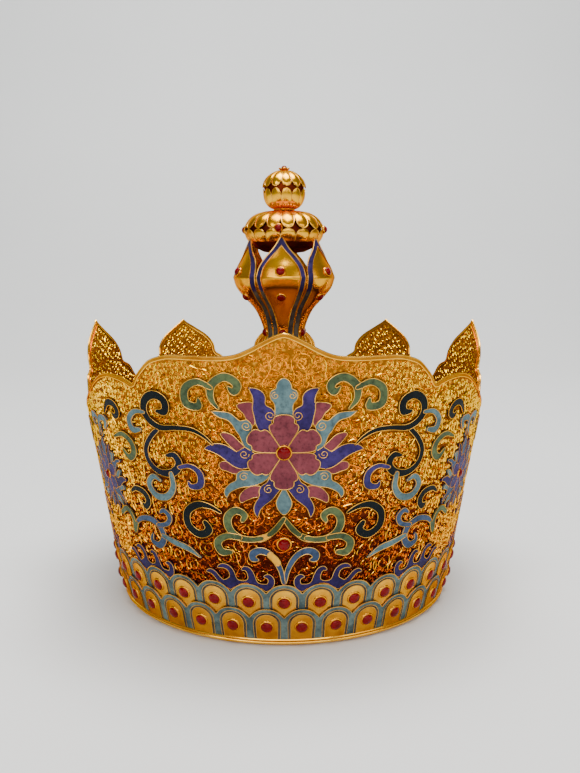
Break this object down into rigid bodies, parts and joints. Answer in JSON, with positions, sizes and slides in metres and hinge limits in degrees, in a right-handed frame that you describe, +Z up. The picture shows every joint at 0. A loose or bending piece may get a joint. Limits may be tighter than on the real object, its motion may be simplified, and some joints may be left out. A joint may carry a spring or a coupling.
{
  "type": "crown",
  "caption": "Gilt filigree crown with enamel flower and scrolls, scalloped jewelled foot bands, pointed lobes and a lotus finial on petal-shaped prongs.",
  "frame": {"origin": "on the crown's axis, at the level of the foot rim's underside", "axes": "+Z up along the crown's axis; -Y is the front with the large flower; +X is the crown's right-hand side as seen from the front"},
  "size_m": [0.2344, 0.2397, 0.2413],
  "materials": {
    "gold": "bright gilt, fire-gilded silver",
    "gold_filigree": "gilt filigree, amber in its depths",
    "gold_inner": "plain dull gilt sheet",
    "enamel_blue": "vitreous enamel, satin",
    "enamel_teal": "vitreous enamel, satin",
    "enamel_mauve": "vitreous enamel, satin",
    "enamel_green": "vitreous enamel, satin",
    "enamel_dark": "vitreous enamel, satin",
    "enamel_red": "dark red ground between gilt petals",
    "scale": "gilt scale with grey-teal enamel border and red stone",
    "ruby": "polished red cabochon in a gilt bezel"
  },
  "bodies": {
    "root": {"filigree_wall": "gold_filigree", "foot_rim": "gold", "inner_dome": "gold_inner", "lower_scales": "scale", "upper_scales": "scale", "flower_leaves": "enamel_blue", "flower_petals": "enamel_mauve", "flower_ruby": "ruby", "lower_ruby": "ruby", "lower_vine": "enamel_green", "twin_scroll": "enamel_teal", "vine_left": "enamel_dark", "mid_scroll_left": "enamel_dark", "green_scroll_left": "enamel_green", "side_vine_left": "enamel_teal", "vine_right": "enamel_dark", "mid_scroll_right": "enamel_dark", "green_scroll_right": "enamel_green", "side_vine_right": "enamel_teal", "wave_01": "enamel_blue", "wave_02": "enamel_blue", "wave_03": "enamel_blue", "wave_04": "enamel_blue", "wave_05": "enamel_blue", "wave_06": "enamel_blue", "wave_07": "enamel_blue", "wave_08": "enamel_blue", "wave_09": "enamel_blue", "wave_10": "enamel_blue", "wave_11": "enamel_blue", "wave_12": "enamel_blue", "side_flower_1": "enamel_blue", "side_flower_2": "enamel_blue", "side_flower_3": "enamel_blue", "side_flower_4": "enamel_blue", "side_flower_5": "enamel_blue", "side_flower_6": "enamel_blue", "side_flower_7": "enamel_blue", "finial_post": "gold_inner", "lotus_core": "enamel_red", "ball_core": "enamel_red", "lotus_upper": "gold", "lotus_lower": "gold", "ball_upper": "gold", "ball_lower": "gold", "top_bud": "gold", "prong_1": "gold", "prong_2": "gold", "prong_3": "gold", "prong_4": "gold", "prong_5": "gold", "prong_6": "gold", "lotus_stone_1": "ruby", "lotus_stone_2": "ruby", "lotus_stone_3": "ruby", "lotus_stone_4": "ruby"}
  },
  "joints": []
}
